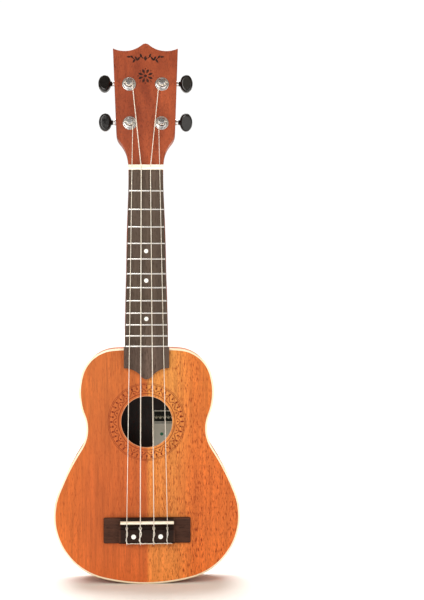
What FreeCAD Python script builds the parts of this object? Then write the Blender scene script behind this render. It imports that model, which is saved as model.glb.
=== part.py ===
import FreeCAD, Part
import os
from math import acos, asin, atan2, copysign, cos, degrees, hypot, pi, radians, sin, tan
from FreeCAD import Placement, Rotation, Vector

# Soprano ukulele, standing on its tail, in millimetres. +Z runs up the neck, the front faces -Y, and
# +X is to the right of somebody who looks at the front. Shapes are made with the front face of the
# soundboard at y = 0 and moved back to front as they are written, so that the origin is the middle
# of the bottom of the whole instrument.

# ---------------------------------------------------------------- driving dimensions
SCALE_LENGTH = 346.0
COMPENSATION = 1.0              # the saddle stands this much further out than the scale length
FRET_ZERO_Z = 408.7             # where the frets are measured from
NUT_FACE_Z = 410.0              # the nut stands a little further out than that
NUT_LENGTH = 5.0
FRETS = 12
MARKED_FRETS = (5, 7, 10)

BODY_DEPTH = 62.0
PLATE = 2.0                     # soundboard and back
SIDE = 1.8
BINDING_DEPTH = 5.0
BINDING_ROUND = 1.0
LINING_WIDTH = 5.5
LINING_DEPTH = 12.0
# Right half of the body outline from the tail up to the neck: radius and turn of each arc, in
# degrees, where a negative turn curves inward. The turns add up to half a circle.
BODY_TURNS = ((177.7, 14.6), (63.4, 96.2), (234.3, 12.2), (35.9, -54.8), (62.1, 38.4), (35.3, 67.6),
              (119.1, 5.8))

SOUNDHOLE_Z = 160.7
SOUNDHOLE_RADIUS = 25.3
TOP_BRACES_Z = (123, 198)
BACK_BRACES_Z = (45, 115, 195)
LABEL_X = (6.5, 46.5)           # paper on the inside of the back, seen through the soundhole
LABEL_Z = (130.0, 168.0)

BOARD_THICK = 5.0               # fretboard
BOARD_HALF_NUT = 16.7
BOARD_HALF_END = 21.3
BOARD_END_Z = 235.0             # the fretboard stops just past the last fret
EXTENSION_HALF = 22.4           # and a slightly wider piece carries on over the body
EXTENSION_CORNER_Z = 214.0
EXTENSION_TIP_Z = 203.0

HEAD_TILT = 12.0
HEAD_THICK = 12.0
HEAD_TIP = 127.7                # along the headstock, from the upper edge of the nut
HEAD_HALF_TOP = 32.7
HEAD_DIP = (21.0, 8.0)          # half-width and depth of the hollow beside the tip

NUT_SPACING = 9.1
SADDLE_SPACING = 13.3
STRING_RADII = {"g": 0.36, "c": 0.50, "e": 0.42, "a": 0.31}
NUT_SLOT_HEIGHT = 6.6           # bottom of a nut slot above the soundboard plane
SADDLE_TOP = 10.25

# Tuning machines, 1 to 4 for the strings g, c, e and a: side, and place across and along the head
TUNERS = {1: ("g", -1, 15.8, 43.5), 2: ("c", -1, 16.5, 84.4),
          3: ("e", 1, 16.5, 84.4), 4: ("a", 1, 15.8, 43.5)}
BUTTON_TURNS = {1: 9.0, 2: -7.0, 3: 5.0, 4: 24.0}

# ---------------------------------------------------------------- values worked out from them
NUT_TOP_Z = NUT_FACE_Z + NUT_LENGTH
SADDLE_Z = FRET_ZERO_Z - SCALE_LENGTH - COMPENSATION
BACK_INNER = BODY_DEPTH - PLATE
FRONT_REACH = SADDLE_TOP + 2 * STRING_RADII["c"]
MIDDLE_Y = (BODY_DEPTH - FRONT_REACH) / 2
HEAD = Placement(Vector(0, 0, NUT_TOP_Z), Rotation(Vector(1, 0, 0), -HEAD_TILT))


# ---------------------------------------------------------------- general helpers
def save(name, *shapes):
    """Write the solids of a node to its own file, in the finished frame."""
    solids = [solid for shape in shapes for solid in shape.Solids]
    node = solids[0].copy() if len(solids) == 1 else Part.makeCompound(solids)
    node.translate(Vector(0, -MIDDLE_Y, 0))
    node.exportStep("parts/" + name + ".step")
    print(f"{name}: {len(solids)} solids, {node.Volume:.1f} mm3, valid {node.isValid()}")


def box(x0, x1, y0, y1, z0, z1):
    return Part.makeBox(x1 - x0, y1 - y0, z1 - z0, Vector(x0, y0, z0))


def rod(start, end, radius):
    return Part.makeCylinder(radius, (end - start).Length, start, end - start)


def mirrored(shape):
    return shape.mirror(Vector(0, 0, 0), Vector(1, 0, 0))


def moved(shape, placement):
    copy = shape.copy()
    copy.Placement = placement.multiply(copy.Placement)
    return copy


def slab(points, y0, y1):
    """Straight-edged plate given by its corners (x, z), between two depths."""
    corners = [Vector(x, y0, z) for x, z in points]
    return Part.Face(Part.makePolygon(corners + corners[:1])).extrude(Vector(0, y1 - y0, 0))


def soft_box(x0, x1, y0, y1, z0, z1, radius):
    """Box whose four edges along Y are rounded."""
    block = box(x0, x1, y0, y1, z0, z1)
    upright = [edge for edge in block.Edges if abs(edge.tangentAt(0).y) > 0.9]
    return block.makeFillet(radius, upright)


def middle_of(edge):
    return edge.valueAt((edge.FirstParameter + edge.LastParameter) / 2)


def rim_at(shape, y, chosen=lambda point: True):
    """Edges that lie at one depth, as far as their middles are chosen."""
    return [edge for edge in shape.Edges if edge.BoundBox.YLength < 1e-4
            and abs(middle_of(edge).y - y) < 1e-4 and chosen(middle_of(edge))]


def tube(points, bends, radius):
    """Round tube along straight runs that are joined by tangent arcs, one bend radius a corner."""
    edges = []
    start = points[0]
    for before, corner, after, bend in zip(points, points[1:], points[2:], bends):
        into = (corner - before).normalize()
        out = (after - corner).normalize()
        half_turn = into.getAngle(out) / 2
        first = corner - into * bend * tan(half_turn)
        last = corner + out * bend * tan(half_turn)
        middle = corner + (out - into).normalize() * bend * (1 / cos(half_turn) - 1)
        edges.append(Part.makeLine(start, first))
        edges.append(Part.Arc(first, middle, last).toShape())
        start = last
    edges.append(Part.makeLine(start, points[-1]))
    ring = Part.Wire(Part.makeCircle(radius, points[0], points[1] - points[0]))
    return Part.Wire(edges).makePipeShell([ring], True, False)


# ---------------------------------------------------------------- outlines made of arcs
def arc_chain(x, z, heading, turns, inset=0.0):
    """Tangent arcs that start at (x, z): centre x, centre z, radius, first and last angle."""
    arcs = []
    for radius, turn in turns:
        side = copysign(1.0, turn)
        centre_x = x - side * radius * sin(radians(heading))
        centre_z = z + side * radius * cos(radians(heading))
        first = heading - 90.0 * side
        heading += turn
        arcs.append((centre_x, centre_z, radius - side * inset, first, first + turn))
        x = centre_x + radius * cos(radians(first + turn))
        z = centre_z + radius * sin(radians(first + turn))
    return arcs


def on_arc(arc, share):
    """Point (x, z) at a share of the way along an arc."""
    centre_x, centre_z, radius, first, last = arc
    angle = radians(first + (last - first) * share)
    return centre_x + radius * cos(angle), centre_z + radius * sin(angle)


def arc_edge(arc, side, y):
    """Edge of an arc on the right (side 1) or the left (side -1)."""
    start, middle, end = [on_arc(arc, share) for share in (0.0, 0.5, 1.0)]
    points = [Vector(side * x, y, z) for x, z in (start, middle, end)]
    return Part.Arc(*points).toShape()


def both_sides(arcs, y):
    return [arc_edge(arc, side, y) for side in (1, -1) for arc in arcs]


def plate_between(edges, y0, y1):
    outline = Part.Wire(Part.__sortEdges__(edges))
    return Part.Face(outline).extrude(Vector(0, y1 - y0, 0))


def ogee(half_width, dip, tip_radius, tip_z, up):
    """Right half of a pointed end: the tip arc and the hollow arc, and the height of its corner."""
    reach, rise = dip
    span = (reach ** 2 + rise ** 2) / (2 * rise)
    hollow = span - tip_radius
    joint = degrees(atan2(span - rise, reach))
    corner = degrees(acos((half_width - reach) / hollow))
    tip_centre = tip_z - up * tip_radius
    hollow_centre = tip_z + up * (hollow - rise)
    tip_arc = (0.0, tip_centre, tip_radius, up * 90.0, up * joint)
    hollow_arc = (reach, hollow_centre, hollow, up * (joint - 180.0), -up * corner)
    return [tip_arc, hollow_arc], on_arc(hollow_arc, 1.0)[1]


def body_arcs(inset):
    return arc_chain(0.0, 0.0, 0.0, BODY_TURNS, inset)


def body_prism(inset, y0, y1):
    """The body's outline, drawn in by an inset, between two depths."""
    arcs = body_arcs(inset)
    x, z = on_arc(arcs[-1], 1.0)
    edges = both_sides(arcs, y0)
    edges.append(Part.makeLine(Vector(x, y0, z), Vector(-x, y0, z)))
    return plate_between(edges, y0, y1)


def body_ring(outer, inner, y0, y1):
    return body_prism(outer, y0, y1).cut(body_prism(inner, y0, y1))


def binding(face_y, inner_y):
    """Closed strip round the edge of a plate, with its outer corner rounded."""
    inner = body_prism(SIDE, min(face_y, inner_y), max(face_y, inner_y))
    whole = body_prism(0, min(face_y, inner_y), max(face_y, inner_y))
    return whole.makeFillet(BINDING_ROUND, rim_at(whole, face_y)).cut(inner)


BODY_TOP = on_arc(body_arcs(0.0)[-1], 1.0)[1]


# ---------------------------------------------------------------- body box
def blocks():
    """Neck block and tail block, trimmed to the inside of the sides."""
    inside = body_prism(SIDE, PLATE, BACK_INNER)
    neck_block = inside.common(box(-25, 25, PLATE, BACK_INNER, BODY_TOP - 22, BODY_TOP))
    tail_block = inside.common(box(-23, 23, PLATE, BACK_INNER, 0, 16))
    return neck_block, tail_block


def kerfs(y0, y1):
    """Saw cuts that let a lining bend, across its inner part all the way round."""
    cuts = []
    width = 1.0
    spacing = 9.0
    outer_arcs = body_arcs(SIDE + 1.6)
    inner_arcs = body_arcs(SIDE + LINING_WIDTH + 0.5)
    for outer, inner in zip(outer_arcs, inner_arcs):
        length = outer[2] * radians(abs(outer[4] - outer[3]))
        count = round(length / spacing)
        for i in range(count):
            x0, z0 = on_arc(outer, (i + 0.5) / count)
            x1, z1 = on_arc(inner, (i + 0.5) / count)
            run = hypot(x1 - x0, z1 - z0)
            across_x = (z1 - z0) / run * width / 2
            across_z = -(x1 - x0) / run * width / 2
            corners = [(x0 + across_x, z0 + across_z), (x1 + across_x, z1 + across_z),
                       (x1 - across_x, z1 - across_z), (x0 - across_x, z0 - across_z)]
            cut = slab(corners, y0, y1)
            cuts += [cut, mirrored(cut)]
    return cuts


def linings(y0, y1, cut_y0, cut_y1, gaps):
    """Kerfed strip glued round the inside of the sides, open where the blocks are."""
    strip = body_ring(SIDE, SIDE + LINING_WIDTH, y0, y1)
    return strip.cut(list(gaps) + kerfs(cut_y0, cut_y1))


def brace(z, thick, glued_y, free_y):
    """Bar across the inside of a plate, from lining to lining, with its ends thinned down."""
    glued, free = min(glued_y, free_y), max(glued_y, free_y)
    room = body_prism(SIDE + LINING_WIDTH, glued, free)
    bar = room.common(box(-100, 100, glued, free, z - thick / 2, z + thick / 2))
    reach = bar.BoundBox.XMax
    slope = 22.0
    thin_y = glued_y + (free_y - glued_y) * 0.35
    for side in (1, -1):
        corners = [(side * (reach - slope), free_y), (side * (reach + 1), free_y),
                   (side * (reach + 1), thin_y)]
        points = [Vector(x, y, z - thick) for x, y in corners]
        wedge = Part.Face(Part.makePolygon(points + points[:1])).extrude(Vector(0, 0, 2 * thick))
        bar = bar.cut(wedge)
    return bar


def make_body():
    hole = rod(Vector(0, -1, SOUNDHOLE_Z), Vector(0, PLATE + 1, SOUNDHOLE_Z), SOUNDHOLE_RADIUS)
    bolt_holes = [rod(Vector(x, -1, BOLT_Z), Vector(x, 2 * PLATE + 1, BOLT_Z), BOLT_RADIUS)
                  for x in BOLT_X]
    board = body_prism(SIDE, 0, PLATE).cut(hole)
    hole_rim = rim_at(board, 0, lambda point: abs(point.z - SOUNDHOLE_Z) < SOUNDHOLE_RADIUS + 1
                      and abs(point.x) < SOUNDHOLE_RADIUS + 1)
    save("soundboard", board.makeFillet(0.5, hole_rim).cut(bolt_holes))
    save("back_plate", body_prism(SIDE, BACK_INNER, BODY_DEPTH))

    walls = body_ring(0, SIDE, BINDING_DEPTH, BODY_DEPTH - BINDING_DEPTH).cut(dowels())
    save("side_right", walls.common(box(0, 100, 0, BODY_DEPTH, -1, BODY_TOP + 1)))
    save("side_left", walls.common(box(-100, 0, 0, BODY_DEPTH, -1, BODY_TOP + 1)))
    save("top_binding", binding(0, BINDING_DEPTH))
    save("back_binding", binding(BODY_DEPTH, BODY_DEPTH - BINDING_DEPTH))

    neck_block, tail_block = blocks()
    save("neck_block", neck_block.cut(dowels()))
    save("tail_block", tail_block)
    gaps = (neck_block, tail_block)
    top_edge = PLATE + LINING_DEPTH
    back_edge = BACK_INNER - LINING_DEPTH
    save("top_linings", linings(PLATE, top_edge, PLATE + 2, top_edge + 1, gaps))
    save("back_linings", linings(back_edge, BACK_INNER, back_edge - 1, BACK_INNER - 2, gaps))
    save("top_braces", *[brace(z, 6, PLATE, PLATE + 9) for z in TOP_BRACES_Z])
    save("back_braces", *[brace(z, 7, BACK_INNER, BACK_INNER - 8) for z in BACK_BRACES_Z])
    bridge_plate = box(-50, 50, PLATE, 2 * PLATE, BOLT_Z - 12, BOLT_Z + 23)
    save("bridge_plate", bridge_plate.cut(bolt_holes))
    save("label", soft_box(*LABEL_X, BACK_INNER - 0.3, BACK_INNER, *LABEL_Z, 1.5))


# ---------------------------------------------------------------- neck, heel and headstock
def neck_section(half_width, depth, power_x, power_y, placement):
    """Flat-fronted section whose back is |x / a| ** power_x + |y / d| ** power_y = 1."""
    steps = 24
    points = []
    for i in range(steps + 1):
        across, back = cos(pi * i / steps), sin(pi * i / steps)
        x = copysign(abs(across) ** (2 / power_x), across) * half_width
        points.append(Vector(x, depth * max(back, 0.0) ** (2 / power_y), 0))
    points[0].y = 0.0
    points[-1].y = 0.0
    curve = Part.BSplineCurve()
    curve.interpolate(points)
    section = Part.Wire([curve.toShape(), Part.makeLine(points[-1], points[0])])
    return moved(section, placement)


def shaft_and_heel():
    """Neck from the body up to the nut, its back sweeping down into the heel."""
    shapes = (                  # height, half-width, depth, powers of the section
        (BODY_TOP, 21.4, 74.0, 1.55, 2.1), (243, 21.4, 68.0, 1.55, 2.1), (250, 21.3, 60.5, 1.6, 2.1),
        (256, 21.2, 50.0, 1.7, 2.1), (262, 21.1, 38.0, 1.8, 2.15), (270, 20.9, 26.0, 2.0, 2.2),
        (280, 20.7, 18.8, 2.1, 2.2), (292, 20.4, 15.8, 2.2, 2.2), (330, 19.5, 14.6, 2.2, 2.2),
        (370, 18.2, 13.8, 2.2, 2.2), (405, 17.2, 13.1, 2.2, 2.2))
    sections = [neck_section(half, depth, px, py, Placement(Vector(0, 0, z), Rotation()))
                for z, half, depth, px, py in shapes]
    sections.append(neck_section(17.3, 12.9, 2.2, 2.2, HEAD))
    return Part.makeLoft(sections, True, False)


def head_prism():
    """The headstock's outline, untilted, as a plate as thick as the headstock."""
    top, corner_z = ogee(HEAD_HALF_TOP, HEAD_DIP, 5.0, HEAD_TIP, 1)
    flare = arc_chain(18.0, 6.0, 85.0, ((32.0, -35.0), (16.7, 37.0)))
    shoulder = on_arc(flare[-1], 1.0)
    flare_start = on_arc(flare[0], 0.0)
    edges = both_sides(top + flare, 0.0)
    for side in (1, -1):
        corner = Vector(side * HEAD_HALF_TOP, 0, corner_z)
        edges.append(Part.makeLine(corner, Vector(side * shoulder[0], 0, shoulder[1])))
        edges.append(Part.makeLine(Vector(side * flare_start[0], 0, flare_start[1]),
                                   Vector(side * 17.3, 0, 0)))
    edges.append(Part.makeLine(Vector(17.3, 0, 0), Vector(-17.3, 0, 0)))
    plate = plate_between(edges, 0, HEAD_THICK)
    rims = [edge for y in (0, HEAD_THICK) for edge in rim_at(plate, y, lambda point: point.z > 0.01)]
    return plate.makeFillet(0.8, rims)


def head_blank():
    """Headstock whose back rounds off into the neck near the nut, in its tilted place."""
    full_z = 36.0
    shapes = ((0, 17.3, 12.9, 2.2), (9, 23.0, 12.4, 2.6), (18, 32.0, 12.1, 3.2),
              (full_z, 62.0, 12.0, 4.2))
    sections = [neck_section(half, depth, power, power, Placement(Vector(0, 0, z), Rotation()))
                for z, half, depth, power in shapes]
    rounding = Part.makeLoft(sections, True, False)
    prism = head_prism()
    lower = prism.common(rounding)
    upper = prism.common(box(-40, 40, -1, HEAD_THICK + 1, full_z, HEAD_TIP + 1))
    return moved(lower.fuse(upper), HEAD)


def dowels():
    """Two dowels that pin the heel to the neck block through the sides."""
    return [rod(Vector(0, y, BODY_TOP - 18), Vector(0, y, BODY_TOP + 14), 4.0) for y in (24, 43)]


def make_neck():
    joint_y = 15.0
    cap_y = BODY_DEPTH - PLATE
    shaft = shaft_and_heel()
    upper = shaft.common(box(-40, 40, -1, joint_y, 0, 600))
    blank = upper.fuse(head_blank())
    save("neck", blank.cut([placed(hole, k) for k in TUNERS for hole in tuner_holes()]))
    heel = shaft.common(box(-40, 40, joint_y, cap_y, 0, 600))
    save("heel", heel.cut(dowels()))
    save("heel_cap", shaft.common(box(-40, 40, cap_y, BODY_DEPTH, 0, 600)))
    save("neck_dowels", *dowels())


# ---------------------------------------------------------------- fretboard, frets and nut
def fret_z(number):
    return FRET_ZERO_Z - SCALE_LENGTH * (1 - 2 ** (-number / 12))


def board_half(z):
    """Half-width of the fretboard, which tapers evenly towards the nut."""
    share = (NUT_FACE_Z - z) / (NUT_FACE_Z - BOARD_END_Z)
    return BOARD_HALF_NUT + (BOARD_HALF_END - BOARD_HALF_NUT) * share


def fret(number):
    """Fret wire: a low crown on the board and a thin tang in its slot."""
    z = fret_z(number)
    half = board_half(z) - 0.1
    crown_half, crown, tang_half, tang = 1.0, 1.0, 0.28, 1.8
    seat = -BOARD_THICK
    top = Part.Arc(Vector(-half, seat, z - crown_half), Vector(-half, seat - crown, z),
                   Vector(-half, seat, z + crown_half)).toShape()
    base = Part.makeLine(Vector(-half, seat, z - crown_half), Vector(-half, seat, z + crown_half))
    head = Part.Face(Part.Wire([top, base])).extrude(Vector(2 * half, 0, 0))
    return head.fuse(box(-half, half, seat, seat + tang, z - tang_half, z + tang_half))


def marker(number):
    """Round inlay, flush with the board, half-way between two frets."""
    z = (fret_z(number) + fret_z(number - 1)) / 2
    return rod(Vector(0, -BOARD_THICK, z), Vector(0, -BOARD_THICK + 1.2, z), 2.1)


def make_fretboard():
    wires = [fret(number) for number in range(1, FRETS + 1)]
    dots = [marker(number) for number in MARKED_FRETS]
    end_half = board_half(BOARD_END_Z)
    corners = [(-end_half, BOARD_END_Z), (end_half, BOARD_END_Z),
               (BOARD_HALF_NUT, NUT_FACE_Z), (-BOARD_HALF_NUT, NUT_FACE_Z)]
    board = slab(corners, -BOARD_THICK, 0)
    long_edges = rim_at(board, -BOARD_THICK, lambda point: abs(point.x) > 1)
    save("fretboard", board.makeFillet(0.5, long_edges).cut(wires + dots))
    save("frets", *wires)
    save("fret_markers", *dots)

    rise = EXTENSION_CORNER_Z - EXTENSION_TIP_Z
    point, corner_z = ogee(EXTENSION_HALF, (EXTENSION_HALF, rise), 6.0, EXTENSION_TIP_Z, -1)
    edges = both_sides(point, -BOARD_THICK)
    top_left = Vector(-EXTENSION_HALF, -BOARD_THICK, BOARD_END_Z)
    top_right = Vector(EXTENSION_HALF, -BOARD_THICK, BOARD_END_Z)
    edges.append(Part.makeLine(Vector(-EXTENSION_HALF, -BOARD_THICK, corner_z), top_left))
    edges.append(Part.makeLine(top_left, top_right))
    edges.append(Part.makeLine(top_right, Vector(EXTENSION_HALF, -BOARD_THICK, corner_z)))
    plate = plate_between(edges, -BOARD_THICK, 0)
    rim = rim_at(plate, -BOARD_THICK, lambda point: point.z < BOARD_END_Z - 0.01)
    save("fretboard_extension", plate.makeFillet(0.5, rim))


def make_nut():
    """Nut with a flat front edge, a top that falls away to the headstock and a slot a string."""
    half = 17.3
    profile = [(0, NUT_FACE_Z), (-7.5, NUT_FACE_Z), (-7.5, NUT_FACE_Z + 2.2), (-6.3, NUT_TOP_Z),
               (0, NUT_TOP_Z)]
    points = [Vector(-half, y, z) for y, z in profile]
    nut = Part.Face(Part.makePolygon(points + points[:1])).extrude(Vector(2 * half, 0, 0))
    long_edges = [edge for edge in nut.Edges
                  if edge.Length > 2 * half - 0.1 and edge.CenterOfMass.y < -7.0]
    nut = nut.makeFillet(0.5, long_edges)
    slots = []
    for k in TUNERS:
        name, side, _, _ = TUNERS[k]
        points, bends = string_route(k)
        slots.append(tube(points[:3], bends[:1], STRING_RADII[name] + 0.06))
    save("nut", nut.cut(slots))


# ---------------------------------------------------------------- bridge
BRIDGE_Z = (41.0, 66.2)
BRIDGE_HALF = 43.0
CENTRE_HALF = 27.5
WING = 3.5
TIE_BLOCK_Z = 54.6              # the tie block's front face
TIE_BLOCK = 8.0
RIDGE_Z = 57.9                  # the saddle ridge's rear face
RIDGE = 6.8
TIE_HOLE = 5.2                  # height of the string holes
BOLT_X = (-13.3, 13.3)
BOLT_Z = 47.9
BOLT_RADIUS = 1.5
DOT_RADIUS = 2.35
DOT_THICK = 1.0
SADDLE_HALF = 26.3
SADDLE_THICK = 3.0
SADDLE_SEAT = 2.6


def bridge_blank():
    """Bridge along X: thin rounded wings, a tie block, a channel and the ridge that holds the saddle."""
    bottom, top = BRIDGE_Z
    profile = [(0, bottom), (-TIE_BLOCK, bottom), (-TIE_BLOCK, TIE_BLOCK_Z), (-WING, TIE_BLOCK_Z),
               (-WING, RIDGE_Z), (-RIDGE + 1.2, RIDGE_Z), (-RIDGE, RIDGE_Z + 1.2), (-RIDGE, top),
               (0, top)]
    points = [Vector(-CENTRE_HALF, y, z) for y, z in profile]
    centre = Part.Face(Part.makePolygon(points + points[:1])).extrude(Vector(2 * CENTRE_HALF, 0, 0))
    outer = [edge for edge in centre.Edges if edge.Length > 2 * CENTRE_HALF - 0.1
             and edge.CenterOfMass.y < -6.0 and (edge.CenterOfMass.z < bottom + 0.1
                                                 or edge.CenterOfMass.z > top - 0.1)]
    centre = centre.makeFillet(1.6, outer)
    wings = soft_box(-BRIDGE_HALF, BRIDGE_HALF, -WING, 0, bottom, top, 1.5)
    rim = [edge for edge in wings.Edges if edge.CenterOfMass.y < -WING + 0.01]
    return centre.fuse(wings.makeFillet(1.0, rim))


def dot_at(x):
    return rod(Vector(x, -TIE_BLOCK, BOLT_Z), Vector(x, -TIE_BLOCK + DOT_THICK, BOLT_Z), DOT_RADIUS)


def bridge_bolt(x):
    """Bolt under an inlaid dot: a flat head in the tie block, a shank through to the nut inside."""
    head_front = -TIE_BLOCK + DOT_THICK
    head = rod(Vector(x, head_front, BOLT_Z), Vector(x, head_front + 1.6, BOLT_Z), DOT_RADIUS)
    shank = rod(Vector(x, head_front, BOLT_Z), Vector(x, 2 * PLATE + 3.6, BOLT_Z), BOLT_RADIUS)
    return head.fuse(shank)


def hexagon(x, y0, y1, z, across_flats):
    radius = across_flats / 2 / cos(pi / 6)
    corners = [(x + radius * cos(pi * i / 3), z + radius * sin(pi * i / 3)) for i in range(6)]
    return slab(corners, y0, y1)


def saddle_solid():
    """Bone strip with a round crown, let into the bridge."""
    low, high = SADDLE_Z - SADDLE_THICK / 2, SADDLE_Z + SADDLE_THICK / 2
    spring = -(SADDLE_TOP - SADDLE_THICK / 2)
    crown = Part.Arc(Vector(-SADDLE_HALF, spring, low), Vector(-SADDLE_HALF, -SADDLE_TOP, SADDLE_Z),
                     Vector(-SADDLE_HALF, spring, high)).toShape()
    points = [Vector(-SADDLE_HALF, spring, high), Vector(-SADDLE_HALF, -SADDLE_SEAT, high),
              Vector(-SADDLE_HALF, -SADDLE_SEAT, low), Vector(-SADDLE_HALF, spring, low)]
    lines = [Part.makeLine(a, b) for a, b in zip(points, points[1:])]
    face = Part.Face(Part.Wire([crown] + lines))
    return face.extrude(Vector(2 * SADDLE_HALF, 0, 0))


def make_bridge():
    saddle = saddle_solid()
    bolts = [bridge_bolt(x) for x in BOLT_X]
    dots = [dot_at(x) for x in BOLT_X]
    holes = [rod(Vector(x, -TIE_HOLE, BRIDGE_Z[0] - 1), Vector(x, -TIE_HOLE, TIE_BLOCK_Z + 1), 0.75)
             for x in string_places(SADDLE_SPACING).values()]
    save("bridge", bridge_blank().cut([saddle] + bolts + dots + holes))
    save("saddle", saddle)
    save("bridge_bolts", *bolts)
    nuts = [hexagon(x, 2 * PLATE, 2 * PLATE + 2.4, BOLT_Z, 5.5) for x in BOLT_X]
    save("bridge_bolt_nuts", *[nut.cut(bolts) for nut in nuts])
    save("bridge_dots", *dots)


# ---------------------------------------------------------------- strings
WRAP_FOOT = 3.8                 # height of a winding's first turn above the headstock
WRAP_TURNS = 2.55
WAIST_RADIUS = 2.6              # the post where the string winds


def string_places(spacing):
    return {"g": -1.5 * spacing, "c": -0.5 * spacing, "e": 0.5 * spacing, "a": 1.5 * spacing}


def wrap_radius(name):
    return WAIST_RADIUS + STRING_RADII[name] + 0.04


def leaving_angle(k):
    """Where a string leaves its winding, as an angle round the post seen from the front."""
    name, side, across, along = TUNERS[k]
    nut_x = side * string_places(NUT_SPACING)[name]
    over_x = across - nut_x
    over_z = along + 3.0
    distance = hypot(over_x, over_z)
    run_angle = degrees(atan2(over_z, over_x)) + degrees(asin(wrap_radius(name) / distance))
    return run_angle + 90.0


def string_route(k):
    """Corners and bend radii of a string, from its post over the nut and the saddle to its tie."""
    name, side, across, along = TUNERS[k]
    radius = STRING_RADII[name]
    angle = radians(leaving_angle(k))
    touch_x = across + wrap_radius(name) * cos(angle)
    touch_z = along + wrap_radius(name) * sin(angle)
    touch = HEAD.multVec(Vector(side * touch_x, -WRAP_FOOT, touch_z))
    nut = Vector(string_places(NUT_SPACING)[name], -NUT_SLOT_HEIGHT - radius, NUT_FACE_Z + 2.2)
    post_gap = 3.0
    start = touch + (nut - touch).normalize() * post_gap

    x = string_places(SADDLE_SPACING)[name]
    crown = SADDLE_THICK / 2 + radius + 0.02
    over = -SADDLE_TOP - radius - 0.02
    loop = -TIE_BLOCK - radius - 0.06
    behind = BRIDGE_Z[0] - 1.1
    corners = [start, nut, Vector(x, over, SADDLE_Z - 0.4 * crown),
               Vector(x, -TIE_HOLE, TIE_BLOCK_Z + 0.9), Vector(x, -TIE_HOLE, behind),
               Vector(x, loop, behind), Vector(x, loop, TIE_BLOCK_Z - 1.0)]
    return corners, (5.0, crown, 1.0, 1.2, 1.2)


def make_strings():
    for k in TUNERS:
        name = TUNERS[k][0]
        corners, bends = string_route(k)
        save("string_" + name, tube(corners, bends, STRING_RADII[name]))


# ---------------------------------------------------------------- tuning machines
# Each machine is made for the right side with its post on the Y axis and the headstock's front face
# at y = 0, x outward and z towards the tip, then mirrored if need be and put in its place.
POST_RADIUS = 3.0
POST_RISE = 9.5
RUNNING_CLEARANCE = 0.05
WORM_Y = 17.5
MODULE = 0.6
TEETH = 14
GEAR_PITCH_RADIUS = MODULE * TEETH / 2
WORM_PITCH_RADIUS = 2.2
WORM_Z = GEAR_PITCH_RADIUS + WORM_PITCH_RADIUS
THREAD_PITCH = pi * MODULE
HALF_TOOTH = THREAD_PITCH / 4 - 0.1
FLANK = tan(radians(20.0))
SHAFT_RADIUS = 1.5
HOUSING_Y = (HEAD_THICK, 21.2)
COVER_BACK = 22.4
GEAR_Y = (14.1, 20.9)
BARREL_END = 15.0
BARREL_RADIUS = 3.2
BUTTON_X = (18.4, 31.2)
BUTTON_HALF_LENGTH = 9.2
STEM_RADIUS = 1.7
STEM_END = BUTTON_X[0] + 7.0
SCREW_Z = -10.6


def placed(shape, k):
    """Move a part of a tuning machine from its own frame to machine k."""
    _, side, across, along = TUNERS[k]
    part = shape if side > 0 else mirrored(shape)
    return moved(part, HEAD.multiply(Placement(Vector(side * across, 0, along), Rotation())))


def along_y(x, y0, y1, z, radius):
    return rod(Vector(x, y0, z), Vector(x, y1, z), radius)


def along_worm(x0, x1, radius):
    return rod(Vector(x0, WORM_Y, WORM_Z), Vector(x1, WORM_Y, WORM_Z), radius)


def tuner_holes():
    """Holes in the headstock for the bushing and for the wood screw."""
    return [along_y(0, -1, HEAD_THICK + 1, 0, 4.0), along_y(0, 4, HEAD_THICK + 1, SCREW_Z, 1.2)]


def housing():
    """Cast gear housing with a barrel for the shaft and an ear for the screw, open at the back."""
    front, back = HOUSING_Y
    shell = soft_box(-7.5, 8.5, front, back, -7.0, 11.6, 2.5)
    shell = shell.fuse([along_worm(8.0, BARREL_END, BARREL_RADIUS),
                        along_y(0, front, front + 2, SCREW_Z, 3.2),
                        box(-3.2, 3.2, front, front + 2, SCREW_Z, -5)])
    gear_room = along_y(0, GEAR_Y[0] - 0.1, back + 1, 0, 5.0)
    worm_room = box(-5.0, 5.5, WORM_Y - 3.1, back + 1, WORM_Z - 3.1, WORM_Z + 3.1)
    return shell.cut([gear_room, worm_room,
                      along_y(0, front - 1, back, 0, POST_RADIUS + RUNNING_CLEARANCE),
                      along_worm(-7.0, 0, SHAFT_RADIUS + RUNNING_CLEARANCE),
                      along_worm(0, BARREL_END + 1, 2.0 + RUNNING_CLEARANCE),
                      along_y(0, front - 1, front + 3, SCREW_Z, 1.2)])


def cover():
    """Pressed plate that closes the back of a housing."""
    plate = soft_box(-7.5, 8.5, HOUSING_Y[1], COVER_BACK, -7.0, 11.6, 2.5)
    rim = [edge for edge in plate.Edges if edge.CenterOfMass.y > COVER_BACK - 0.01]
    return plate.makeFillet(0.8, rim)


def bushing():
    """Threaded sleeve with a hexagon head that clamps the machine to the headstock."""
    sleeve = along_y(0, -0.8, HEAD_THICK, 0, 4.0)
    head = hexagon(0, -3.0, -0.8, 0, 10.0)
    crown = Part.makeCone(4.6, 7.0, 2.4, Vector(0, -3.0, 0), Vector(0, 1, 0))
    bore = along_y(0, -4, HEAD_THICK + 1, 0, POST_RADIUS + RUNNING_CLEARANCE)
    return sleeve.fuse(head.common(crown)).cut(bore)


def washer():
    ring = along_y(0, -0.8, 0, 0, 7.0)
    rim = [edge for edge in ring.Edges if edge.CenterOfMass.y < -0.7 and edge.Length > 40]
    return ring.makeFillet(0.5, rim).cut(along_y(0, -2, 1, 0, 4.0))


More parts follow.
